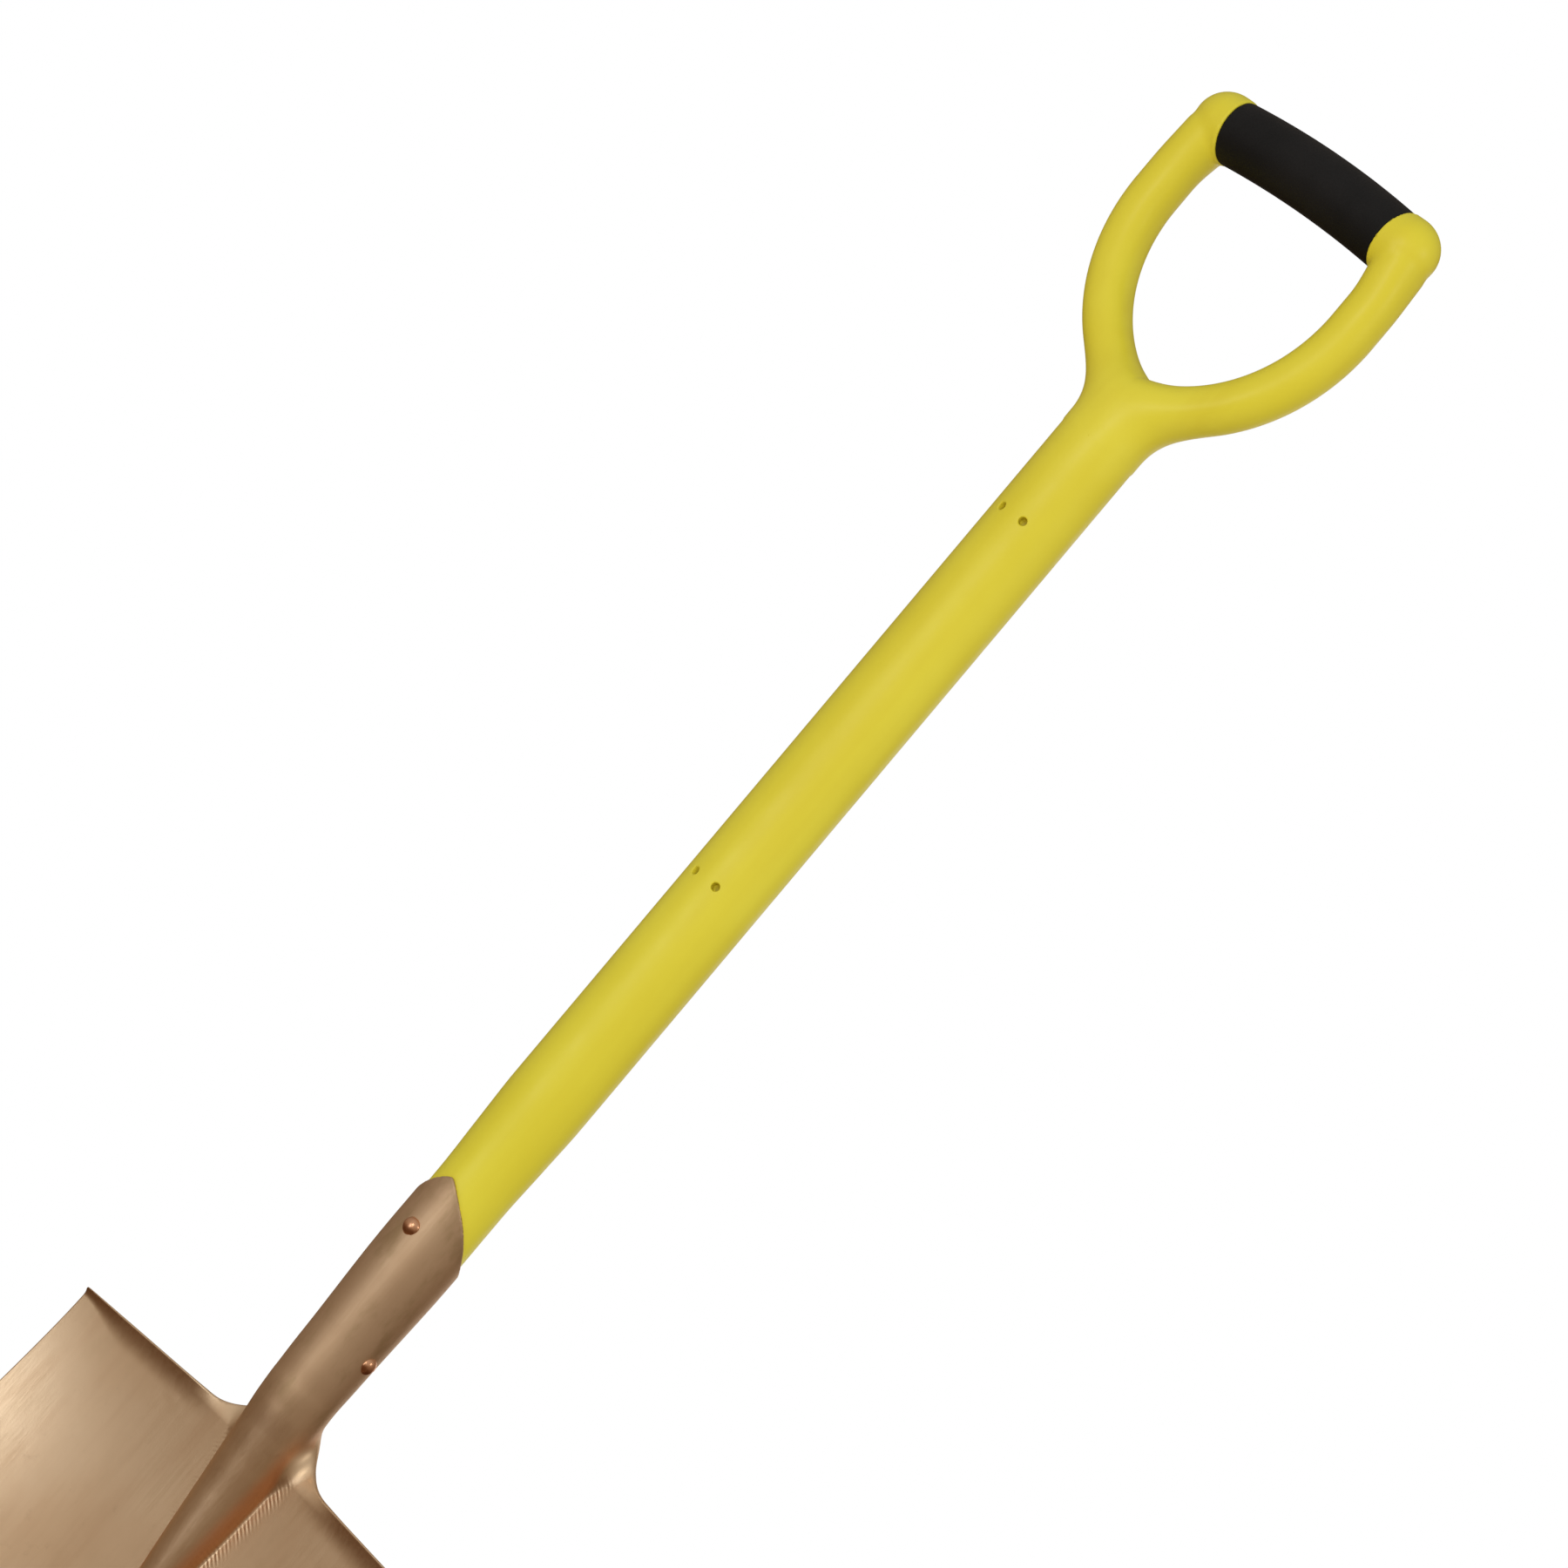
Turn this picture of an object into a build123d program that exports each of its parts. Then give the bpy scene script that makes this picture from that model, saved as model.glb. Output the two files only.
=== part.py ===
from build123d import *
from math import cos, radians, sin, sqrt
import os

# Garden spade with a D handle, standing on its cutting edge.
# +Z runs up the shaft, the working face of the blade looks along -Y. Millimetres.

# ---- where the shaft axis stands, so that the whole spade is centred on Y ----
AXIS_Y = -0.4

# ---- blade ----
BLADE_LENGTH = 293.0          # cutting edge to tread, on the centre line
TREAD_HALF_WIDTH = 121.8
BELLY_HALF_WIDTH = 125.5      # widest part of the blade
BELLY_Z = 175.0
EDGE_HALF_WIDTH = 123.0       # at the cutting edge
EDGE_CORNER_R = 14.0
EDGE_CROWN = 5.0              # the cutting edge bows down this much in the middle
TREAD_DROOP = 4.9             # the tread falls this much from neck to corner
SHEET = 2.4
FACE_Y = 7.5                  # face of the blade behind the shaft axis, at the tread
BOTTOM_LIFT = 13.0            # the cutting edge comes forward this much
DISH_TOP = 4.5                # side edges forward of the middle, at the tread
DISH_BELLY = 12.0
LIP_DEPTH = 3.6               # forward turn of the tread
LIP_HEIGHT = 7.0
LIP_START = 36.0              # the lip grows from here outwards
LIP_FULL = 58.0
LIP_LAP = 1.5
NECK_FILLET_R = 22.0
NECK_SET_BACK = 8.0           # above the tread the sheet runs back into the rear wall of the socket

# ---- socket, one piece with the blade ----
SOCKET_WALL = 1.7
SOCKET_TOP_Z = 431.0          # tip of the front tongue
SOCKET_RIM = ((6, 430.0), (20, 427.2), (33, 423.8), (46, 420.4), (59, 416.8), (71, 413.0), (81, 409.8),
              (91, 406.4), (103, 402.9), (116, 400.4), (130, 399.4), (141, 400.8), (151, 404.2),
              (161, 408.2), (171, 410.8))   # degrees round from the front, height
SOCKET_BASE_Z = 319.0
CAVITY_END_Z = 321.5
SOCKET_PROFILE = ((SOCKET_BASE_Z, 16.5), (333.0, 17.0), (347.0, 17.4), (374.0, 18.45), (386.0, 18.85),
                  (398.0, 19.0), (SOCKET_TOP_Z + 4.0, 18.9))
RIDGE = ((SOCKET_BASE_Z, 16.5, 0.0), (300.0, 16.3, 3.0), (276.0, 15.4, 6.6), (240.0, 12.0, 7.8),
         (205.0, 8.2, 8.3), (165.0, 3.9, 8.6), (132.0, 1.0, 8.7))   # height, radius, set back from the shaft axis

# ---- shaft ----
SHAFT_R = 18.75
CORE_R = 12.5
CORE_TOP_Z = 858.0
SHEATH_END_Z = 323.0
TAPER_START_Z = 482.0
TAPER_END_Z = 430.0
FIT_GAP = 0.08                # between sheath and socket
PIN_HOLE_R = 1.9
PIN_HOLE_ANGLE = 20.8         # each side of the front
PIN_HOLE_Z = (596.6, 799.1)

# ---- D handle ----
NECK_Z = 852.0
ARM_X = 61.1
ARM_HALF_WIDTH = 10.4
ARM_HALF_DEPTH = 11.9
ARM_BEND_R = 82.0
ARM_BEND_Z = 949.0            # the arms run straight above this height
ARM_SWELL = ((ARM_BEND_Z, ARM_HALF_WIDTH, ARM_HALF_DEPTH, 0.0), (962.0, 10.6, 12.2, 0.0),
             (974.0, 11.6, 13.6, 1.3), (985.0, 12.4, 14.7, 3.4))   # height, half width, half depth, inset
BAR_Z = 990.2
BAR_BOW = 2.4
EAR_R = 15.3
EAR_TIP_X = 70.2
BAR_CORE_R = 12.0
GRIP_R = 14.8
GRIP_HALF_LENGTH = 48.3
CROTCH_Z = 884.5

# ---- rivets ----
RIVET_R = 2.7
RIVET_HEAD_R = 4.15
RIVET_HEAD_HEIGHT = 2.4
UPPER_RIVET_Z = 404.0
LOWER_RIVET_Z = 346.5


def smooth(t):
    t = max(0.0, min(1.0, t))
    return t * t * (3 - 2 * t)


def tread_z(x):
    return BLADE_LENGTH - TREAD_DROOP * (abs(x) / TREAD_HALF_WIDTH)


def face_y(x, z):
    """Front face of the blade sheet without its lip, set back from the shaft axis."""
    down = (BLADE_LENGTH - z) / BLADE_LENGTH
    middle = FACE_Y + 4.0 * down - (BOTTOM_LIFT + 4.0) * down**2
    dish = DISH_TOP + (DISH_BELLY - DISH_TOP) * smooth(down / 0.35)
    neck = NECK_SET_BACK * smooth((z - 288) / 30)
    return middle - dish * (abs(x) / BELLY_HALF_WIDTH) ** 2.2 + neck


def revolved(points):
    """Solid of revolution about the shaft axis through (height, radius) points."""
    corners = [(r, z) for z, r in points]
    outline = Polyline((0, points[0][0]), *corners, (0, points[-1][0]), close=True)
    return revolve(Plane.XZ * make_face(outline), Axis.Z)


def socket_outside():
    return revolved(SOCKET_PROFILE)


def bore(gap):
    """Inside of the socket down to the end of the shaft, made smaller by the gap."""
    points = [(CAVITY_END_Z + gap, SOCKET_PROFILE[1][1] - SOCKET_WALL - 0.35 - gap)]
    points += [(z, r - SOCKET_WALL - gap) for z, r in SOCKET_PROFILE[1:-1]]
    points += [(TAPER_END_Z, SOCKET_PROFILE[-1][1] - SOCKET_WALL - gap)]
    return points


def rim_cutter():
    """Everything above the tongued rim, seen from the side."""
    r = SOCKET_PROFILE[-1][1]
    rim = [(-r * cos(radians(a)), z) for a, z in SOCKET_RIM]
    top = SOCKET_TOP_Z + 30
    outline = Polyline((-r - 8, top), (-r - 8, rim[0][1]), *rim, (r + 8, rim[-1][1]), (r + 8, top), close=True)
    return extrude(Plane.YZ * make_face(outline), 40, both=True)


def blade_outline():
    """Flat outline of the blade and its neck below the lip, looking at the face."""
    neck_x = SOCKET_PROFILE[0][1] - 0.2
    fillet_x = neck_x + NECK_FILLET_R
    top = tread_z(fillet_x)
    neck_top = top + NECK_FILLET_R
    tread = (TREAD_HALF_WIDTH, tread_z(TREAD_HALF_WIDTH) - LIP_HEIGHT + LIP_LAP)
    side = (EDGE_HALF_WIDTH, EDGE_CROWN + EDGE_CORNER_R)
    edge = (EDGE_HALF_WIDTH - EDGE_CORNER_R, EDGE_CROWN)
    half = [
        Line((0, neck_top), (neck_x, neck_top)),
        RadiusArc((neck_x, neck_top), (fillet_x, top), -NECK_FILLET_R * 1.02),
        Line((fillet_x, top), (LIP_FULL, tread_z(LIP_FULL) - LIP_HEIGHT + LIP_LAP)),
        Line((LIP_FULL, tread_z(LIP_FULL) - LIP_HEIGHT + LIP_LAP), tread),
        Spline(tread, (BELLY_HALF_WIDTH, BELLY_Z), side),
        RadiusArc(side, edge, EDGE_CORNER_R * 1.02),
        Spline(edge, (60, 1.2), (0, 0)),
        Line((0, 0), (0, neck_top)),
    ]
    right = make_face(Curve() + half)
    return right + mirror(right, Plane.YZ)


def blade_sheet():
    """Dished sheet, the same thickness all over."""
    heights = [-10 + 22 * i for i in range(16)]
    widths = [-132 + 16.5 * i for i in range(17)]
    grid = [[Vector(x, face_y(x, z), z) for z in heights] for x in widths]
    front = Face.make_surface_from_array_of_points(grid, tol=0.02, min_deg=2, max_deg=4)
    slab = extrude(front, SHEET, dir=(0, 1, 0))
    return slab & extrude(Plane.XZ * blade_outline(), 60, both=True)


def tread_lip():
    """Top edge of the sheet turned forward to take the boot, dying out at the neck."""
    sections = []
    for i in range(6):
        x = LIP_START + (TREAD_HALF_WIDTH - LIP_START) * i / 5
        top = tread_z(x)
        low = top - LIP_HEIGHT
        turn = LIP_DEPTH * max(0.12, smooth((x - LIP_START) / (LIP_FULL - LIP_START)))
        low_y = face_y(x, low)
        top_y = face_y(x, top) - turn
        corners = [(low_y - 0.1, low), (low_y + SHEET + 0.1, low), (top_y + SHEET + 0.1, top), (top_y - 0.1, top)]
        sections.append(Plane.YZ.offset(x) * make_face(Polyline(*corners, close=True)))
    right = loft(sections, ruled=True)
    return right + mirror(right, Plane.YZ)


def blade():
    rings = [Pos(0, y, z) * Circle(r) for z, r, y in RIDGE]
    body = socket_outside() + loft(rings) + blade_sheet() + tread_lip()
    body -= rim_cutter()
    body -= revolved(bore(0.0) + [(SOCKET_TOP_Z + 20, SOCKET_PROFILE[-1][1] - SOCKET_WALL)])
    return body - rivet_bores()


def rivet_bores():
    upper = Pos(0, 0, UPPER_RIVET_Z) * Rot(90, 0, 0) * Cylinder(RIVET_R, 60)
    lower = Pos(0, 0, LOWER_RIVET_Z) * Rot(0, 90, 0) * Cylinder(RIVET_R, 60)
    return upper + lower


def rivet(z, along_x):
    """Solid rivet with a domed head at each end, lying along Y or along X."""
    seat = next(r0 + (r1 - r0) * (z - z0) / (z1 - z0)
                for (z0, r0), (z1, r1) in zip(SOCKET_PROFILE, SOCKET_PROFILE[1:]) if z0 <= z <= z1)
    ball_r = (RIVET_HEAD_R**2 + RIVET_HEAD_HEIGHT**2) / (2 * RIVET_HEAD_HEIGHT)
    ball_at = seat + RIVET_HEAD_HEIGHT - ball_r
    heads = Pos(0, 0, ball_at) * Sphere(ball_r) + Pos(0, 0, -ball_at) * Sphere(ball_r)
    heads &= Cylinder(RIVET_HEAD_R, 80)
    turn = Rot(0, 90, 0) if along_x else Rot(90, 0, 0)
    placed = Pos(0, 0, z) * turn
    return placed * heads - socket_outside() + placed * Cylinder(RIVET_R, 2 * seat + 2)


def arm_bend():
    """Centre line of the curved lower part of the right arm."""
    centre_x = ARM_X - ARM_BEND_R
    foot_z = ARM_BEND_Z - sqrt(ARM_BEND_R**2 - centre_x**2)
    middle = radians(-38)
    mid_point = (centre_x + ARM_BEND_R * cos(middle), ARM_BEND_Z + ARM_BEND_R * sin(middle))
    return ThreePointArc((0, foot_z), mid_point, (ARM_X, ARM_BEND_Z))


def ear():
    """Rounded end of the crossbar where one arm comes in."""
    inner = GRIP_HALF_LENGTH - 4
    outer = EAR_TIP_X - EAR_R
    bulge = EAR_R * sqrt(0.5)
    half = [
        Line((inner, 0), (inner, EAR_R)),
        Line((inner, EAR_R), (outer, EAR_R)),
        ThreePointArc((outer, EAR_R), (outer + bulge, bulge), (outer + EAR_R, 0)),
        Line((outer + EAR_R, 0), (inner, 0)),
    ]
    return Pos(0, 0, BAR_Z) * revolve(make_face(Curve() + half), Axis.X)


def arm():
    """Right arm of the D, oval below, swelling into its ear beside the grip."""
    bend = Plane.XZ * arm_bend()
    start = Plane(origin=bend @ 0, z_dir=bend % 0, x_dir=(0, 1, 0))
    tube = sweep(start * Ellipse(ARM_HALF_DEPTH, ARM_HALF_WIDTH), path=bend)
    rings = [Pos(ARM_X - inset, 0, z) * Ellipse(wide, deep) for z, wide, deep, inset in ARM_SWELL]
    return tube + loft(rings) + ear()


def neck():
    """Webbed neck that spreads from the shaft into the two arms."""
    steps = [(NECK_Z, SHAFT_R, SHAFT_R), (NECK_Z + 5, 20.2, 18.4), (864, 23.4, 17.0),
             (873, 30.0, 15.0), (CROTCH_Z - 3, 38.4, 13.0)]
    rings = [Pos(0, 0, z) * Ellipse(wide, deep) for z, wide, deep in steps]
    return loft(rings)


def bar(radius, half=GRIP_HALF_LENGTH):
    """Bowed crossbar between the ears."""
    end_z = BAR_Z + BAR_BOW * (1 - (half / GRIP_HALF_LENGTH) ** 2)
    line = Plane.XZ * ThreePointArc((-half, end_z), (0, BAR_Z + BAR_BOW), (half, end_z))
    at = Plane(origin=line @ 0, z_dir=line % 0)
    return sweep(at * Circle(radius), path=line)


def sheath():
    """Round shaft with the tapered foot that sits inside the socket."""
    foot = [(SHEATH_END_Z, SOCKET_PROFILE[1][1] - SOCKET_WALL - 0.35 - FIT_GAP)] + bore(FIT_GAP)[1:]
    return revolved(foot + [(TAPER_START_Z, SHAFT_R), (NECK_Z, SHAFT_R)])


def pin_holes():
    holes = []
    for z in PIN_HOLE_Z:
        for angle in (-PIN_HOLE_ANGLE, PIN_HOLE_ANGLE):
            hole = Rot(0, 0, angle) * Pos(0, -SHAFT_R, z) * Rot(90, 0, 0) * Cylinder(PIN_HOLE_R, 13)
            holes.append(hole)
    return holes


def shaft_core():
    length = CORE_TOP_Z - SHEATH_END_Z
    rod = Pos(0, 0, SHEATH_END_Z + length / 2) * Cylinder(CORE_R, length)
    return rod - rivet_bores()


def handle_moulding():
    right = arm()
    body = right + neck() + mirror(right, Plane.YZ) + bar(BAR_CORE_R, GRIP_HALF_LENGTH + 6)
    body -= bar(GRIP_R + 3) - bar(BAR_CORE_R)
    body += sheath()
    rod_length = CORE_TOP_Z - SHEATH_END_Z + 10
    body -= Pos(0, 0, CORE_TOP_Z - rod_length / 2) * Cylinder(CORE_R, rod_length)
    for hole in pin_holes():
        body -= hole
    return body - rivet_bores()


def grip_sleeve():
    return bar(GRIP_R) - bar(BAR_CORE_R)


NODES = {
    "blade": blade,
    "shaft_core": shaft_core,
    "handle_moulding": handle_moulding,
    "grip_sleeve": grip_sleeve,
    "upper_rivet": lambda: rivet(UPPER_RIVET_Z, False),
    "lower_rivet": lambda: rivet(LOWER_RIVET_Z, True),
}

os.makedirs("parts", exist_ok=True)
for name, make in NODES.items():
    made = Pos(0, AXIS_Y, 0) * make()
    box = made.bounding_box()
    print(name, len(made.solids()), round(made.volume), box.min, box.max)
    export_step(made, f"parts/{name}.step")
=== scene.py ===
import math

import bmesh
import bpy
import numpy as np
import openvdb
from mathutils import Matrix, Vector


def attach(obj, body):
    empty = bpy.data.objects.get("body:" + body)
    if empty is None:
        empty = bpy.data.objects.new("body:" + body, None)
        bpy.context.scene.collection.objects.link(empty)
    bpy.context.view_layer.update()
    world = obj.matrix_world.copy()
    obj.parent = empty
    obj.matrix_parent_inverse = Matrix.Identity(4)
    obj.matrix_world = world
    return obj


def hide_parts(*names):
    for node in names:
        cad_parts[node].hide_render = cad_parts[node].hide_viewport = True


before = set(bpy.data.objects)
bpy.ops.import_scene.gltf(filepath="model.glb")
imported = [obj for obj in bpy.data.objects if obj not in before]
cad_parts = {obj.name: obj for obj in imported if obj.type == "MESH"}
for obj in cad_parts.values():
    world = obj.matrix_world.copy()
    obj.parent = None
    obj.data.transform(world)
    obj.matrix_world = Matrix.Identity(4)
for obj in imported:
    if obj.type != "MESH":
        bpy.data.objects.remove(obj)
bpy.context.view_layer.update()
MM = 0.001

# ---------------------------------------------------------------- the room's light, floor to ceiling
# SHINY is what reflections see, SOFT what matt surfaces get: the way to the bright side, the strength,
# the tint of the far side, and (height, colour) stops from straight down at 0 to straight up at 1
SHINY = dict(front=(0.22, -0.97, 0.0), strength=0.86, back=(0.36, 0.24, 0.15), stops=[
    (0.22, (0.17, 0.09, 0.045)), (0.40, (0.38, 0.28, 0.20)), (0.47, (0.53, 0.45, 0.37)),
    (0.60, (0.66, 0.62, 0.58)), (0.90, (0.80, 0.80, 0.80))])
SOFT = dict(front=(0.55, -0.83, 0.0), strength=0.86, back=(0.60, 0.58, 0.54), stops=[
    (0.12, (0.66, 0.46, 0.26)), (0.5, (0.93, 0.90, 0.85)), (0.85, (0.74, 0.77, 0.80))])

# ---------------------------------------------------------------- dimensions, millimetres
AXIS_Y = -0.4                                   # where the shaft axis stands
TREAD_Z, DROOP, TREAD_HALF = 293.0, 4.9, 121.8  # top of the blade
BELLY_Z, BELLY_HALF = 175.0, 125.5              # widest place of the blade
CORNER_Z, CORNER_HALF, CORNER_R = 19.0, 123.0, 14.0
TREAD_END_Z = 288.1                             # the tread at its outer end
DISH_HALF = 125.5                               # half width over which the dish is measured
SHEET = 2.4                                     # thickness of the blade
WALL = 1.7                                      # thickness of the socket
CAVITY_Z = 321.5                                # floor inside the socket
SHAFT_R = 18.75
SHEATH_FOOT_Z = 323
NECK_Z = 845                                    # from here up the shaft flattens into the neck
EAR_Z = 962                                     # from here up the arms belong to the ears
ARM_X, ARM_BEND_R, ARM_BEND_Z = 61.1, 82.0, 949.0
BAR_Z, BAR_BOW, EAR_R, EAR_TIP_X = 990.2, 2.4, 15.3, 70.2
GRIP_R, GRIP_HALF = 14.8, 48.3
UPPER_RIVET_Z, LOWER_RIVET_Z = 404.0, 346.5
PIN_ANGLE, PIN_R, PIN_Z = math.radians(20.8), 1.9, (596.6, 799.1)

# outline of the forging along the shaft: height, outside radius, set back from the shaft axis
FORGING = np.array([
    (100, -1.2, 4.6), (132, 0.9, 6.4), (165, 3.9, 8.4), (205, 8.2, 8.2), (240, 12.0, 7.6), (262, 14.1, 7.0),
    (280, 15.5, 5.7), (296, 16.2, 3.6), (309, 16.45, 1.3), (321, 16.55, 0.1), (333, 17.0, 0), (347, 17.4, 0),
    (360, 17.9, 0), (374, 18.45, 0), (386, 18.85, 0), (398, 19.0, 0), (415, 18.9, 0), (440, 18.8, 0)], float)

# rim of the socket: degrees round from the front, height
RIM = np.array([
    (0, 431.2), (6, 430.3), (20, 427.2), (33, 423.8), (46, 420.4), (59, 416.8), (71, 413.0), (81, 409.8),
    (91, 406.4), (103, 402.9), (116, 400.4), (130, 399.4), (141, 400.8), (151, 404.2), (161, 408.2),
    (171, 410.8), (180, 411.4)], float)

# yellow sheath: height, radius
SHEATH = np.array([
    (SHEATH_FOOT_Z, 15.0), (333, 15.25), (347, 15.6), (374, 16.7), (386, 17.1), (430, 17.15),
    (455, 17.95), (482, SHAFT_R), (520, SHAFT_R), (860, SHAFT_R), (900, SHAFT_R)], float)


# ---------------------------------------------------------------- small maths
def smooth(t):
    t = np.clip(t, 0.0, 1.0)
    return t * t * (3 - 2 * t)


def smin(a, b, k):
    """Union of two distances with a fillet about k wide."""
    h = np.clip(0.5 + 0.5 * (b - a) / k, 0.0, 1.0)
    return b * (1 - h) + a * h - k * h * (1 - h)


def smax(a, b, k):
    """Overlap of two distances with a round about k wide."""
    return -smin(-a, -b, k)


def curve(z, table, column):
    """Smooth curve through a column of a table, by monotone cubic pieces."""
    x, y = table[:, 0], table[:, column]
    d = np.diff(y) / np.diff(x)
    m = np.zeros(len(x))
    m[1:-1] = np.where(d[:-1] * d[1:] > 0, 2 * d[:-1] * d[1:] / (d[:-1] + d[1:] + 1e-12), 0)
    m[0], m[-1] = d[0], d[-1]
    z = np.clip(z, x[0], x[-1])
    i = np.clip(np.searchsorted(x, z) - 1, 0, len(x) - 2)
    h = x[i + 1] - x[i]
    t = (z - x[i]) / h
    return ((1 + 2 * t) * (1 - t) ** 2 * y[i] + t * (1 - t) ** 2 * h * m[i]
            + t * t * (3 - 2 * t) * y[i + 1] + t * t * (t - 1) * h * m[i + 1])


def noise3(x, y, z, seed):
    """Soft repeatable bumps, about one unit apart, between -1 and 1."""
    rng = np.random.default_rng(seed)
    out = np.zeros(np.broadcast(x, y, z).shape)
    for _ in range(7):
        kx, ky, kz = rng.normal(0, 2.6, 3)
        out = out + np.sin(kx * x + ky * y + kz * z + rng.uniform(0, 6.28))
    return out / 7


# ---------------------------------------------------------------- mesh from a distance function
def spaced(*runs):
    """Grid stations: (start, end, step) runs joined together."""
    out = [runs[0][0]]
    for a, b, step in runs:
        n = max(1, int(math.ceil((b - a) / step)))
        out += [a + (b - a) * i / n for i in range(1, n + 1)]
    return np.array(out)


def contour(xs, ys, zs, warp, field, band=3.0):
    """Quads on field(x, y, z) = 0, from a grid that warp() bends along the shape.

    The points are then pulled on to the surface, and the normals are the field's own.
    """
    shape = (len(xs), len(ys), len(zs))
    values = np.empty(shape, np.float32)
    for i in range(0, len(xs), 24):
        gx, gy, gz = np.meshgrid(xs[i:i + 24], ys, zs, indexing="ij")
        values[i:i + 24] = np.clip(field(*warp(gx, gy, gz), False), -band, band)
    grid = openvdb.FloatGrid(band)
    grid.copyFromArray(values)
    points, quads = grid.convertToQuads(0.0)
    index = points.astype(float)
    stations = [np.interp(index[:, k], np.arange(n), s) for k, (n, s) in enumerate(zip(shape, (xs, ys, zs)))]
    p = np.stack(warp(*stations), 1)
    steps = [np.gradient(s) for s in (xs, ys, zs)]
    reach = 0.7 * np.min([np.interp(index[:, k], np.arange(len(s)), s) for k, s in enumerate(steps)], axis=0)
    reach = np.clip(reach, 0.2, 1.2)
    for _ in range(4):
        f, g = gradient(field, p)
        move = f / np.maximum((g * g).sum(1), 0.05)
        move = np.clip(move, -reach, reach)
        p -= g * move[:, None]
    _, g = gradient(field, p)
    normals = g / np.maximum(np.linalg.norm(g, axis=1), 1e-9)[:, None]
    quads = quads.astype(np.int64)
    a, b, c = p[quads[:, 0]], p[quads[:, 1]], p[quads[:, 2]]
    facing = np.einsum("ij,ij->i", np.cross(b - a, c - a), normals[quads[:, 0]])
    if (facing > 0).mean() < 0.5:
        quads = quads[:, ::-1]
    return p, quads, normals


def gradient(field, p, h=0.05):
    """Value and slope of field at the points p."""
    f = field(p[:, 0], p[:, 1], p[:, 2])
    g = np.empty_like(p)
    for k in range(3):
        q = p.copy()
        q[:, k] += h
        r = p.copy()
        r[:, k] -= h
        g[:, k] = (field(q[:, 0], q[:, 1], q[:, 2]) - field(r[:, 0], r[:, 1], r[:, 2])) / (2 * h)
    return f, g


def mesh_object(name, points, faces, normals=None):
    """Object in metres from points in millimetres; smooth, with its own normals if they are given."""
    mesh = bpy.data.meshes.new(name)
    mesh.vertices.add(len(points))
    mesh.vertices.foreach_set("co", (np.asarray(points, float) * MM).astype(np.float32).ravel())
    sizes = np.array([len(face) for face in faces])
    loops = np.concatenate([np.asarray(face) for face in faces]) if len(set(sizes)) > 1 else np.ravel(faces)
    mesh.loops.add(int(sizes.sum()))
    mesh.loops.foreach_set("vertex_index", loops.astype(np.int32))
    mesh.polygons.add(len(sizes))
    mesh.polygons.foreach_set("loop_start", np.concatenate([[0], np.cumsum(sizes)[:-1]]).astype(np.int32))
    mesh.polygons.foreach_set("loop_total", sizes.astype(np.int32))
    mesh.update(calc_edges=True)
    mesh.validate()
    mesh.polygons.foreach_set("use_smooth", np.ones(len(mesh.polygons), bool))
    if normals is not None:
        mesh.normals_split_custom_set_from_vertices(normals.tolist())
    obj = bpy.data.objects.new(name, mesh)
    bpy.context.scene.collection.objects.link(obj)
    return obj


def fix_normals(obj):
    """Turn every face outwards."""
    bm = bmesh.new()
    bm.from_mesh(obj.data)
    bmesh.ops.recalc_face_normals(bm, faces=bm.faces)
    bm.to_mesh(obj.data)
    bm.free()


def skin(name, points, rings, around):
    """Closed object over a row of rings of points, with a flat cap on each end."""
    faces = []
    for i in range(rings - 1):
        for j in range(around):
            k = (j + 1) % around
            faces.append((i * around + j, i * around + k, (i + 1) * around + k, (i + 1) * around + j))
    last = (rings - 1) * around
    faces.append(tuple(range(around - 1, -1, -1)))
    faces.append(tuple(range(last, last + around)))
    obj = mesh_object(name, points, faces)
    fix_normals(obj)
    return obj


# ---------------------------------------------------------------- blade and socket, one forging
def tread(x):
    """Height of the blade's top edge."""
    return TREAD_Z - DROOP * np.abs(x) / TREAD_HALF


def cutting_edge(x):
    """Height of the blade's lower edge, bowed down in the middle."""
    return 5.0 * (np.abs(x) / 109.0) ** 2.4


def half_width(z):
    """Side edge of the blade: a parabola through the tread's end, the belly and the lower corner."""
    upper, whole, lower = TREAD_END_Z - BELLY_Z, TREAD_END_Z - CORNER_Z, BELLY_Z - CORNER_Z
    return (TREAD_HALF * (z - BELLY_Z) * (z - CORNER_Z) / (upper * whole)
            - BELLY_HALF * (z - TREAD_END_Z) * (z - CORNER_Z) / (upper * lower)
            + CORNER_HALF * (z - TREAD_END_Z) * (z - BELLY_Z) / (whole * lower))


def lip(x, z):
    """How far the tread is turned forward: a soft bend that dies out by the neck."""
    ax = np.abs(x)
    deep = 2.6 * smooth((ax - 24) / 34.0)
    tall = 4.5 + 8.0 * smooth((122 - ax) / 34.0)
    t = np.clip((z - (tread(x) - tall)) / tall, 0, 1.5)
    return deep * np.where(t < 1, np.minimum(t, 1) ** 2.4, 2.4 * t - 1.4)


def set_back(x, z):
    """How far the sheet runs back above the tread, into the rear wall of the socket."""
    return 7.0 * smooth((z - 286) / 24) * smooth((62 - np.abs(x)) / 30)


def face(x, z):
    """Front of the blade sheet: how far back it stands."""
    down = (TREAD_Z - z) / TREAD_Z
    middle = 7.5 + 4.0 * down - 17.0 * down * np.abs(down)
    middle = middle - 1.5 * np.maximum(1 - down / 0.19, 0) ** 2 * smooth((310 - z) / 14)
    dish = 4.5 + 7.5 * smooth(down / 0.35)
    return AXIS_Y + middle - dish * (np.abs(x) / DISH_HALF) ** 2.7 - lip(x, z) + set_back(x, z)


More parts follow.
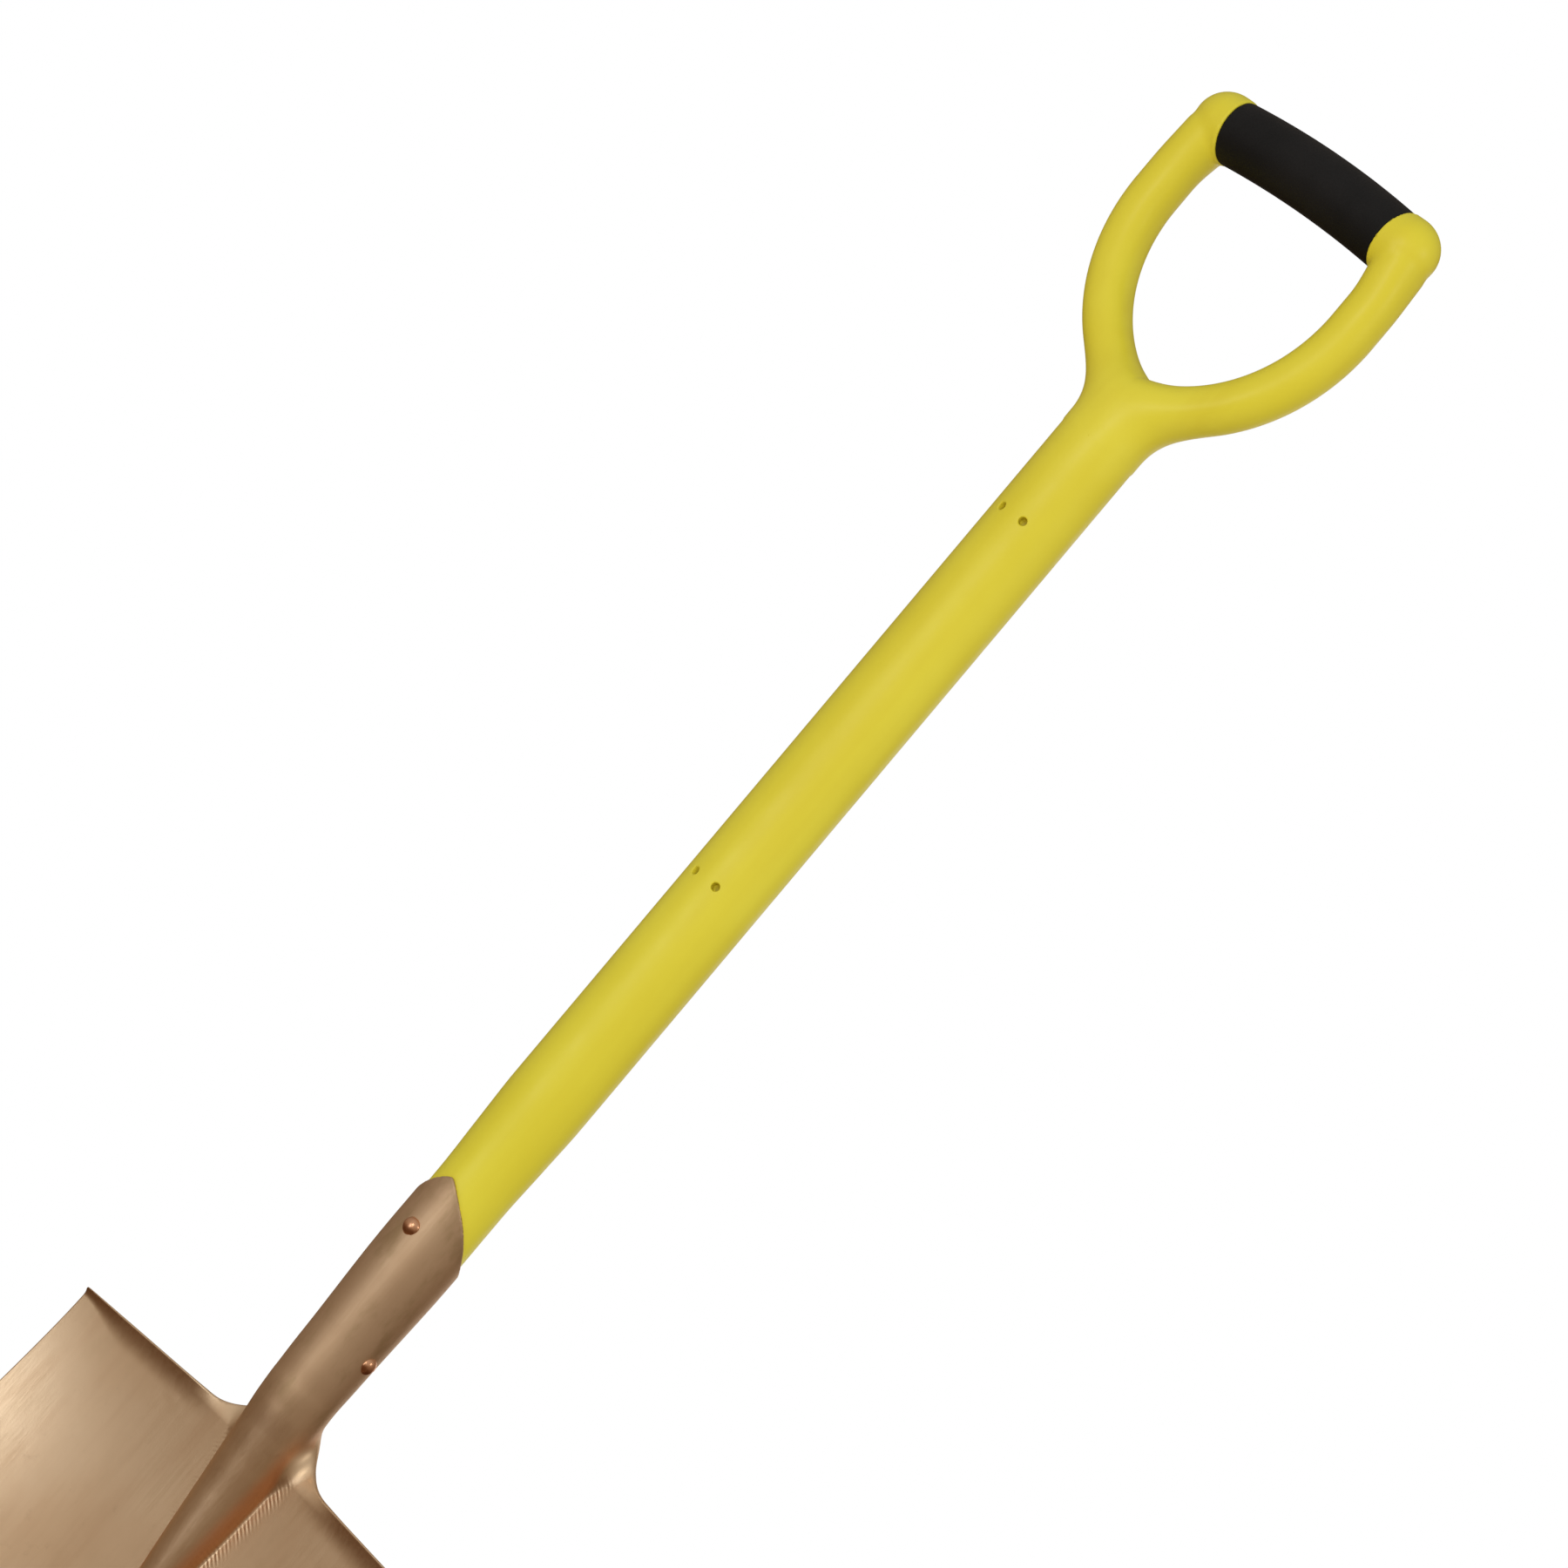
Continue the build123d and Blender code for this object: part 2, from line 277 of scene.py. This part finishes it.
def marks(x, z):
    """Row of shallow die marks along each side of the ridge."""
    off = (np.abs(x) - 15.0 - (z - 242) * 0.125) / 2.5
    wave = np.sin(2 * math.pi * (z + 0.75 * np.abs(x)) / 2.4)
    uneven = 0.55 + 0.25 * np.sin(z * 0.9 + x) + 0.2 * np.sin(z * 0.37)
    there = smooth((z - 205) / 22) * smooth((291 - z) / 9)
    return 0.085 * wave * uneven * np.exp(-off * off) * there


def sheet_distance(x, y, z):
    """Distance to the blade's sheet, in its own bent frame; and the depth behind its face."""
    ax = np.abs(x)
    depth = y - face(x, z)
    side = ax - half_width(z)
    low = cutting_edge(x) - z
    web = (ax - 24.1) * 0.534 + (z - 297.4) * 0.846
    top = smin(z - tread(x), web, 3.5)
    corner = np.minimum(np.maximum(side, low), 0) + np.hypot(
        np.maximum(side + CORNER_R, 0), np.maximum(low + CORNER_R, 0)) - CORNER_R
    corner = np.where((side > -CORNER_R) & (low > -CORNER_R), corner, np.maximum(side, low))
    outline = smax(corner, top, 1.6)
    bevel = 0.5 * SHEET * smooth((9 - z) / 9)
    thick = np.abs(depth - SHEET / 2) - SHEET / 2 + bevel * 0.55
    e = 0.8
    q0, q1 = np.maximum(outline + e, 0), np.maximum(thick + e, 0)
    return np.sqrt(q0 * q0 + q1 * q1) + np.minimum(np.maximum(outline + e, thick + e), 0) - e, depth


def forging(x, y, z, fine=True):
    """Distance to blade, ridge and socket; fine adds marks, dents and wear."""
    r = curve(z, FORGING, 1)
    back = curve(z, FORGING, 2) + AXIS_Y
    yy = y - back
    rho = np.sqrt(x * x + yy * yy)
    body = np.maximum(rho - r, 105 - z)
    hole = np.minimum(r - WALL - rho, z - CAVITY_Z)
    rim = curve(np.degrees(np.arctan2(np.abs(x), -yy)), RIM, 1)
    tube = smax(smax(body, hole, 0.8), (z - rim) * 0.8, 0.9)
    sheet, depth = sheet_distance(x, y, z)
    solid = smin(tube, sheet, 1.7 + 9.0 * smooth((z - 274) / 22))
    bore = (rho < r - WALL / 2) & (z > 317)
    solid = np.where((z > 350) | bore, tube, solid)
    if fine:
        wear = 0.07 * noise3(x / 14, y / 14, z / 26, 5)
        dents = (0.06 * np.exp(-((x + 57) ** 2 + (z - 276) ** 2) / 5)
                 + 0.05 * np.exp(-((x + 50) ** 2 + (z - 281) ** 2) / 4))
        solid = solid + marks(x, z) + wear * smooth((z - 60) / 60) * 0.8 + dents * (depth < 1.2)
    return solid


def forging_warp(x, y, z):
    """Grid that lies along the blade: its sides, its tread and cutting edge, and its dished face."""
    wide = x * np.where(z < TREAD_Z, half_width(np.clip(z, 0, 288)) / TREAD_HALF, 1.0)
    share = np.clip(z / TREAD_Z, 0, 1)
    above = np.clip((335 - z) / 40, 0, 1)
    low, high = cutting_edge(np.clip(np.abs(wide), 0, 123)), tread(wide)
    up = np.where(z < TREAD_Z, low + (high - low) * share + np.minimum(z, 0), z + (high - TREAD_Z) * above)
    shift = face(wide, np.minimum(up, 318)) * np.clip((340 - z) / 24, 0, 1)
    return wide, y + shift, up


def build_forging():
    """Fine grid by the ridge, the edges and the tread, coarse over the open sheet."""
    xs = spaced((0, 30, 0.92), (30, 112, 4.0), (112, 119.5, 1.4), (119.5, 124, 0.45))
    xs = np.concatenate([-xs[:0:-1], xs])
    ys = spaced((-31, -20.4, 1.6), (-20.4, -5.5, 1.15), (-5.5, 3.6, 0.42), (3.6, 20.5, 1.15), (20.5, 31, 1.6))
    zs = spaced((-1.5, 3, 0.5), (3, 150, 5.0), (150, 205, 2.6), (205, 281, 0.72), (281, 296, 0.55),
                (296, 400, 1.3), (400, 434, 0.7))
    p, q, n = contour(xs, ys, zs, forging_warp, forging)
    return mesh_object("forged_blade", p, q, n)


# ---------------------------------------------------------------- moulded handle
def superoval(s, y, a, b, power):
    """Rounded oval: about the distance outside it."""
    k = ((np.abs(s) / a) ** power + (np.abs(y) / b) ** power) ** (1 / power)
    return (k - 1) * (a * b) / np.sqrt((a * a + b * b) / 2)


def shaft_distance(x, yy, z):
    """Round shaft with its tapered foot inside the socket, flattening into the neck."""
    r = curve(z, SHEATH, 1)
    shaft = np.maximum(np.hypot(x, yy) - r, SHEATH_FOOT_Z - z)
    narrow = np.clip((z - NECK_Z) / 36, 0, 1)
    shaft_top = superoval(x, yy, SHAFT_R + 1.5 * narrow, SHAFT_R - 5.2 * smooth(narrow), 2.1)
    shaft = np.where(z > NECK_Z, shaft_top, shaft)
    return smax(shaft, z - 872, 10)


def arm_distance(ax, yy, z):
    """Arm with its ear: curved below, straight above, leaning in at the ear, closed by the seam at the grip."""
    cx, cz = ARM_X - ARM_BEND_R, ARM_BEND_Z
    bend = np.hypot(ax - cx, z - cz) - ARM_BEND_R
    lean = smooth((z - 960) / 30)
    line = ax - (ARM_X - 2.9 * lean)
    s = np.where(z < cz, bend, line)
    arm = superoval(s, yy, 10.4 + 1.0 * lean, 11.9 + 2.0 * lean, 2.25)
    arm = smax(arm, z - 990, 8)
    arm = np.maximum(arm, 862 - z)
    ear_x = EAR_TIP_X - EAR_R
    ear = np.hypot(np.hypot(np.maximum(ax - ear_x, 0), yy), z - BAR_Z) - EAR_R
    inner = smooth((ARM_X - 3 - ax) / 8) * smooth((BAR_Z - z) / 10)
    joined = smin(arm, ear, 1.2 + 0.8 * inner)
    seam = (GRIP_HALF - 0.02 - ax) + 0.10 * (z - BAR_Z)
    return np.where(z > EAR_Z, smax(joined, seam, 0.9), joined)


def handle(x, y, z, fine=True):
    """Distance to the yellow moulding; it has no finer level, so fine changes nothing."""
    yy = y - AXIS_Y
    ax = np.abs(x)
    shaft = shaft_distance(x, yy, z)
    body = smin(shaft, arm_distance(ax, yy, z), 15.0)
    body = np.where(z < 835, shaft, body)
    bow = BAR_Z + BAR_BOW * (1 - (ax / GRIP_HALF) ** 2)
    bar = np.maximum(np.hypot(yy, z - bow) - 12.0, ax - 52)
    body = np.where(z > EAR_Z, np.minimum(body, bar), body)
    # witness holes
    for hz in PIN_Z:
        for turn in (-PIN_ANGLE, PIN_ANGLE):
            u = x * math.cos(turn) + yy * math.sin(turn)
            v = -x * math.sin(turn) + yy * math.cos(turn)
            pin = np.maximum(np.hypot(u, z - hz) - PIN_R, v + 12.5)
            body = np.where(np.abs(z - hz) < 8, smax(body, -pin, 0.7), body)
    return body


def build_handle():
    """Fine grid by the witness holes, the neck and the D, coarse along the shaft."""
    xs = spaced((0, 4.2, 1.2), (4.2, 9.4, 0.42), (9.4, 76, 1.3))
    xs = np.concatenate([-xs[:0:-1], xs])
    ys = spaced((-21, -19.6, 0.7), (-19.6, -15.2, 0.5), (-15.2, 20.5, 1.2))
    hole_runs = []
    at = 488.0
    for hz in PIN_Z:
        hole_runs += [(at, hz - 4, 9.0), (hz - 4, hz + 4, 0.42)]
        at = hz + 4
    zs = spaced((321, 400, 8), (400, 488, 4), *hole_runs, (at, 840, 6.0), (840, 1009, 1.3))
    p, q, n = contour(xs, ys, zs, lambda a, b, c: (a, b, c), handle)
    return mesh_object("moulded_handle", p, q, n)


# ---------------------------------------------------------------- grip sleeve
def build_grip():
    """Soft sleeve that follows the bowed crossbar, with rolled ends."""
    around, along = 96, 90
    ends = [(1.0, 12.05), (0.4, 13.6), (0.0, GRIP_R - 0.55), (0.35, GRIP_R - 0.12), (1.1, GRIP_R)]
    half = [(-GRIP_HALF + d, r) for d, r in ends]
    middle = [(-GRIP_HALF + 2.2 + (2 * GRIP_HALF - 4.4) * i / along,
               GRIP_R + 0.12 * math.sin(math.pi * i / along)) for i in range(along + 1)]
    rings = half + middle + [(-x, r) for x, r in reversed(half)]
    points = []
    for x, r in rings:
        z = BAR_Z + BAR_BOW * (1 - (x / GRIP_HALF) ** 2)
        slope = -2 * BAR_BOW * x / GRIP_HALF**2
        c = 1 / math.sqrt(1 + slope * slope)
        for j in range(around):
            a = 2 * math.pi * j / around
            up = r * math.cos(a)
            points.append((x - up * slope * c, AXIS_Y + r * math.sin(a), z + up * c))
    return skin("soft_grip", np.array(points), len(rings), around)


# ---------------------------------------------------------------- rivets
def build_rivet(name, z, turn):
    """Solid rivet with two hammered domes on a thin flange; it runs along Y, or along X with turn."""
    around = 56
    seat = float(curve(np.array([z]), FORGING, 1)[0])
    shank = [(2.6, -3.0), (2.6, -1.1), (4.0, -1.05)]
    dome = [(4.15, -0.95), (4.15, -0.25), (4.0, 0.05), (3.75, 0.5), (3.3, 1.1), (2.7, 1.62), (2.0, 2.0),
            (1.2, 2.24), (0.5, 2.34)]
    profile = shank + dome
    rings = [(r, seat + h) for r, h in profile]
    rings = [(r, -h) for r, h in reversed(rings)] + rings
    points = []
    for r, h in rings:
        for j in range(around):
            a = 2 * math.pi * j / around
            wobble = 1 + 0.018 * math.sin(3 * a + h) + 0.010 * math.sin(7 * a + 2 * h)
            points.append((r * wobble * math.cos(a), h, z + r * wobble * math.sin(a)))
    p = np.array(points)
    if turn:
        p = np.stack([p[:, 1], p[:, 0], p[:, 2]], 1)
    p[:, 1] += AXIS_Y
    return skin(name, p, len(rings), around)


# ---------------------------------------------------------------- materials
class Nodes:
    """Short way to write a material's nodes."""

    def __init__(self, name):
        self.material = bpy.data.materials.new(name)
        self.material.use_nodes = True
        self.tree = self.material.node_tree
        self.shader = self.tree.nodes["Principled BSDF"]

    def add(self, kind, inputs=None, **settings):
        node = self.tree.nodes.new(kind)
        for key, value in settings.items():
            setattr(node, key, value)
        for key, value in (inputs or {}).items():
            self.put(node, key, value)
        return node

    def put(self, node, key, value):
        if isinstance(value, bpy.types.NodeSocket):
            self.tree.links.new(value, node.inputs[key])
        else:
            node.inputs[key].default_value = value

    def where(self):
        return self.add("ShaderNodeTexCoord").outputs["Object"]

    def stretched(self, scale):
        return self.add("ShaderNodeMapping", {"Vector": self.where(), "Scale": scale}).outputs["Vector"]

    def noise(self, vector, scale, detail=2.0, rough=0.5):
        return self.add("ShaderNodeTexNoise", {"Vector": vector, "Scale": scale, "Detail": detail,
                                               "Roughness": rough}).outputs["Fac"]

    def maths(self, kind, a, b=0.0, c=0.0):
        return self.add("ShaderNodeMath", {0: a, 1: b, 2: c}, operation=kind).outputs[0]

    def span(self, value, a, b, c, d):
        return self.add("ShaderNodeMapRange", {"Value": value, "From Min": a, "From Max": b, "To Min": c,
                                               "To Max": d}, interpolation_type="SMOOTHSTEP").outputs[0]

    def mix(self, factor, a, b):
        node = self.add("ShaderNodeMix", data_type="RGBA")
        self.put(node, 0, factor)
        self.put(node, 6, a)
        self.put(node, 7, b)
        return node.outputs[2]

    def bump(self, height, strength, distance):
        return self.add("ShaderNodeBump", {"Height": height, "Strength": strength,
                                           "Distance": distance}).outputs["Normal"]

    def finish(self, **sockets):
        for key, value in sockets.items():
            self.put(self.shader, key.replace("_", " "), value)
        return self.material


def colour(r, g, b):
    """sRGB 0-255 to the linear colour a shader takes."""
    linear = [((c / 255 + 0.055) / 1.055) ** 2.4 if c > 10 else c / 255 / 12.92 for c in (r, g, b)]
    return tuple(linear) + (1.0,)


def yellow_moulding():
    """Satin plastic: clouds and streaks of colour, and a fine peel."""
    n = Nodes("yellow_moulding")
    cloud = n.noise(n.where(), 14, 3)
    streak = n.noise(n.stretched((60, 60, 5)), 1.0, 3)
    base = n.mix(n.span(cloud, 0.3, 0.7, 0, 1), colour(231, 216, 53), colour(236, 223, 63))
    base = n.mix(n.span(streak, 0.42, 0.72, 0, 0.35), base, colour(222, 202, 40))
    peel = n.noise(n.where(), 420, 2)
    rough = n.span(n.noise(n.where(), 60, 3), 0.3, 0.7, 0.36, 0.46)
    return n.finish(Base_Color=base, Roughness=rough, Specular_IOR_Level=0.35,
                    Normal=n.bump(peel, 0.10, 0.0004))


def black_grip():
    """Matt black with a fine grain."""
    n = Nodes("black_grip")
    grain = n.noise(n.where(), 900, 3, 0.6)
    cloud = n.noise(n.where(), 30, 3)
    base = n.mix(n.span(cloud, 0.3, 0.7, 0, 1), colour(20, 20, 20), colour(27, 26, 26))
    rough = n.span(grain, 0.3, 0.7, 0.58, 0.72)
    return n.finish(Base_Color=base, Roughness=rough, Specular_IOR_Level=0.2,
                    Normal=n.bump(grain, 0.25, 0.0004))


def bronze(name, light, dark, rough_low, rough_high, forged):
    """Brushed metal with clouds, streaks and spots.

    forged adds the duller, mottled skin of the socket and a painted reflection of the blade on the ridge
    flanks.
    """
    n = Nodes(name)
    brushed = n.noise(n.stretched((900, 900, 22)), 1.0, 4, 0.6)
    broad = n.noise(n.stretched((90, 90, 14)), 1.0, 3, 0.55)
    cloud = n.noise(n.where(), 11, 4, 0.55)
    spots = n.noise(n.where(), 130, 4, 0.6)
    base = n.mix(n.span(cloud, 0.3, 0.7, 0, 1), light, dark)
    base = n.mix(n.span(broad, 0.45, 0.8, 0, 0.3), base, colour(206, 170, 132))
    base = n.mix(n.span(spots, 0.6, 0.85, 0, 0.22), base, colour(150, 112, 78))
    if forged:
        height = n.add("ShaderNodeSeparateXYZ", {"Vector": n.where()}).outputs["Z"]
        base = n.mix(n.span(height, 0.275, 0.335, 0, 0.5), base, colour(212, 182, 148))
        blotches = n.noise(n.stretched((95, 95, 45)), 1.0, 4, 0.6)
        mottle = n.maths("MULTIPLY", n.span(blotches, 0.46, 0.72, 0, 0.55),
                         n.span(height, 0.27, 0.33, 0.15, 1))
        base = n.mix(mottle, base, colour(184, 158, 116))
        # painted reflection: an orange tint on the ridge flanks stands in for the blade reflected there
        base = n.mix(painted_flank_reflection(n, cloud), base, colour(240, 180, 134))
    mixed = n.maths("MULTIPLY_ADD", brushed, 0.6, n.maths("MULTIPLY", cloud, 0.4))
    rough = n.span(mixed, 0.3, 0.7, rough_low, rough_high)
    if forged:
        rough = n.maths("ADD", rough, n.span(height, 0.275, 0.335, 0, 0.16))
    return n.finish(Base_Color=base, Metallic=1.0, Roughness=rough, Normal=n.bump(brushed, 0.12, 0.00025))


def painted_flank_reflection(n, cloud):
    """Painted reflection: an orange tint on the steep flanks of the ridge, from the blade's face up to the
    neck, standing in for the blade reflected in them.
    """
    at = n.add("ShaderNodeSeparateXYZ", {"Vector": n.where()}).outputs
    crease = n.maths("MINIMUM", n.maths("MULTIPLY_ADD", at["Z"], 0.102, -0.01293), 0.0159)
    out = n.maths("SUBTRACT", n.maths("ABSOLUTE", at["X"]), crease)
    inside = n.maths("MULTIPLY", n.span(out, 0.0014, -0.0002, 0, 1), n.span(out, -0.0048, -0.0010, 0, 0.85))
    flank = n.span(at["Y"], -0.008, 0.001, 0, 1)
    front = n.span(at["Y"], 0.0105, 0.0085, 0, 1)
    foot = n.span(at["Z"], 0.125, 0.19, 0, 1)
    head = n.span(at["Z"], 0.318, 0.292, 0, 1)
    much = n.maths("MULTIPLY", n.maths("MULTIPLY", inside, flank), n.maths("MULTIPLY", foot, head))
    return n.maths("MULTIPLY", n.maths("MULTIPLY", much, front), n.span(cloud, 0.2, 0.6, 0.65, 1.0))


def glass_fibre():
    """Long pale strands in resin."""
    n = Nodes("glass_fibre_core")
    strands = n.noise(n.stretched((1400, 1400, 12)), 1.0, 3)
    base = n.mix(n.span(strands, 0.35, 0.65, 0, 1), colour(196, 186, 140), colour(226, 220, 184))
    rough = n.span(strands, 0.3, 0.7, 0.35, 0.5)
    return n.finish(Base_Color=base, Roughness=rough, Normal=n.bump(strands, 0.2, 0.0003))


def studio_floor():
    n = Nodes("studio_floor")
    cloud = n.noise(n.where(), 3, 2)
    base = n.mix(n.span(cloud, 0.3, 0.7, 0, 1), colour(236, 236, 236), colour(240, 240, 240))
    return n.finish(Base_Color=base, Roughness=n.span(cloud, 0.3, 0.7, 0.7, 0.8))


# ---------------------------------------------------------------- camera and light
def set_camera():
    """Nearly level, from the front right, rolled so that the shaft lies on the frame's diagonal."""
    turn, roll, lift = math.radians(33.38), math.radians(40.05), math.radians(-1.2287)
    target = Vector((-11.761, AXIS_Y, 857 - 207.80)) * MM
    distance, focal = 2812.4 * MM, 7556.14
    back = Vector((math.sin(turn) * math.cos(lift), -math.cos(turn) * math.cos(lift), math.sin(lift)))
    right0 = (-back).cross(Vector((0, 0, 1))).normalized()
    up0 = right0.cross(-back)
    right = right0 * math.cos(roll) + up0 * math.sin(roll)
    up = up0 * math.cos(roll) - right0 * math.sin(roll)
    camera = bpy.data.objects.new("camera", bpy.data.cameras.new("camera"))
    bpy.context.scene.collection.objects.link(camera)
    camera.matrix_world = Matrix((
        (right.x, up.x, back.x, 0), (right.y, up.y, back.y, 0), (right.z, up.z, back.z, 0), (0, 0, 0, 1)))
    camera.location = target + back * distance
    camera.data.sensor_width = 36
    camera.data.lens = 36 * focal / 1800
    camera.data.clip_start, camera.data.clip_end = 0.1, 50
    bpy.context.scene.camera = camera


def area_light(name, position, aim, size, power, matt, tint=(1, 1, 1)):
    """Softbox: a matt one fills the shaded sides, the others only show as sheen."""
    data = bpy.data.lights.new(name, "AREA")
    data.shape = "RECTANGLE"
    data.size, data.size_y = size
    data.energy, data.color = power, tint
    light = bpy.data.objects.new(name, data)
    light.visible_camera = False
    light.visible_diffuse, light.visible_glossy = matt, not matt
    light.location = position
    light.rotation_mode = "QUATERNION"
    light.rotation_quaternion = (Vector(aim) - Vector(position)).to_track_quat("-Z", "Y")
    bpy.context.scene.collection.objects.link(light)


def room(tree, way, height, front, strength, back, stops):
    """Light of a plain room: a ramp from floor to ceiling, tinted and dimmed towards the back."""
    ramp = tree.nodes.new("ShaderNodeValToRGB")
    ramp.color_ramp.interpolation = "EASE"
    elements = ramp.color_ramp.elements
    elements[0].position, elements[0].color = stops[0][0], stops[0][1] + (1,)
    elements[1].position, elements[1].color = stops[-1][0], stops[-1][1] + (1,)
    for position, tint in stops[1:-1]:
        elements.new(position).color = tint + (1,)
    tree.links.new(height, ramp.inputs[0])
    facing = tree.nodes.new("ShaderNodeVectorMath")
    facing.operation = "DOT_PRODUCT"
    facing.inputs[1].default_value = front
    tree.links.new(way, facing.inputs[0])
    turn = tree.nodes.new("ShaderNodeMapRange")
    turn.inputs["From Min"].default_value = -1
    tree.links.new(facing.outputs["Value"], turn.inputs["Value"])
    side = tree.nodes.new("ShaderNodeMix")
    side.data_type = "RGBA"
    side.inputs[6].default_value, side.inputs[7].default_value = back + (1,), (1, 1, 1, 1)
    tree.links.new(turn.outputs[0], side.inputs[0])
    both = tree.nodes.new("ShaderNodeMix")
    both.data_type, both.blend_type = "RGBA", "MULTIPLY"
    both.inputs[0].default_value = 1
    tree.links.new(ramp.outputs[0], both.inputs[6])
    tree.links.new(side.outputs[2], both.inputs[7])
    background = tree.nodes.new("ShaderNodeBackground")
    background.inputs["Strength"].default_value = strength
    tree.links.new(both.outputs[2], background.inputs["Color"])
    return background.outputs[0]


def set_world():
    """White background; the light that reaches the object is a soft room, warmer and darker below."""
    world = bpy.data.worlds.new("studio")
    bpy.context.scene.world = world
    world.use_nodes = True
    tree = world.node_tree
    white = tree.nodes["Background"]
    white.inputs["Color"].default_value = (1, 1, 1, 1)
    way = tree.nodes.new("ShaderNodeTexCoord")
    split = tree.nodes.new("ShaderNodeSeparateXYZ")
    tree.links.new(way.outputs["Generated"], split.inputs[0])
    height = tree.nodes.new("ShaderNodeMath")
    height.operation = "MULTIPLY_ADD"
    height.inputs[1].default_value, height.inputs[2].default_value = 0.5, 0.5
    tree.links.new(split.outputs["Z"], height.inputs[0])
    shiny = room(tree, way.outputs["Generated"], height.outputs[0], **SHINY)
    soft = room(tree, way.outputs["Generated"], height.outputs[0], **SOFT)
    seen = tree.nodes.new("ShaderNodeLightPath")
    by_kind = tree.nodes.new("ShaderNodeMixShader")
    tree.links.new(seen.outputs["Is Diffuse Ray"], by_kind.inputs[0])
    tree.links.new(shiny, by_kind.inputs[1])
    tree.links.new(soft, by_kind.inputs[2])
    mix = tree.nodes.new("ShaderNodeMixShader")
    tree.links.new(seen.outputs["Is Camera Ray"], mix.inputs[0])
    tree.links.new(by_kind.outputs[0], mix.inputs[1])
    tree.links.new(white.outputs[0], mix.inputs[2])
    tree.links.new(mix.outputs[0], tree.nodes["World Output"].inputs["Surface"])


def build_floor():
    """Pale round floor just under the cutting edge, left out of the metal's reflections."""
    around, radius, z = 96, 900, -0.2
    turns = [2 * math.pi * i / around for i in range(around)]
    points = [(0, 0, z)] + [(radius * math.cos(turn), radius * math.sin(turn), z) for turn in turns]
    faces = [(0, 1 + i, 1 + (i + 1) % around) for i in range(around)]
    floor = mesh_object("studio_floor", points, faces)
    floor.data.materials.append(studio_floor())
    floor.visible_glossy = False


# ---------------------------------------------------------------- put together
def place(obj, node, material):
    """Give the object its material and its place in the frame."""
    obj.data.materials.clear()
    obj.data.materials.append(material)
    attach(obj, "root")
    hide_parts(node)


set_camera()
set_world()
area_light("fill", (1.6, -2.4, 1.1), (0, 0, 0.5), (1.6, 1.6), 22, True)
area_light("front", (-0.35, -2.6, 0.36), (0, 0, 0.3), (0.95, 0.9), 6.2, False, (0.95, 1.0, 1.10))
area_light("key", (0.42, -2.4, 1.2), (0, 0, 0.3), (0.5, 0.5), 6, False)
area_light("side", (2.3, -0.1, 1.8), (0, 0, 0.4), (0.6, 0.6), 5, False)
area_light("back", (-0.3, 2.6, 0.6), (0, 0, 0.4), (2.0, 1.6), 9, False)
build_floor()

forged = bronze("forged_bronze", colour(233, 207, 172), colour(223, 193, 155), 0.34, 0.44, True)
polished = bronze("rivet_bronze", colour(226, 176, 138), colour(214, 158, 118), 0.26, 0.36, False)
place(build_forging(), "blade", forged)
place(build_handle(), "handle_moulding", yellow_moulding())
place(build_grip(), "grip_sleeve", black_grip())
place(build_rivet("domed_upper_rivet", UPPER_RIVET_Z, False), "upper_rivet", polished)
place(build_rivet("domed_lower_rivet", LOWER_RIVET_Z, True), "lower_rivet", polished)
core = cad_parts["shaft_core"]
core.data.materials.clear()
core.data.materials.append(glass_fibre())

bpy.context.scene.view_settings.view_transform = "Standard"
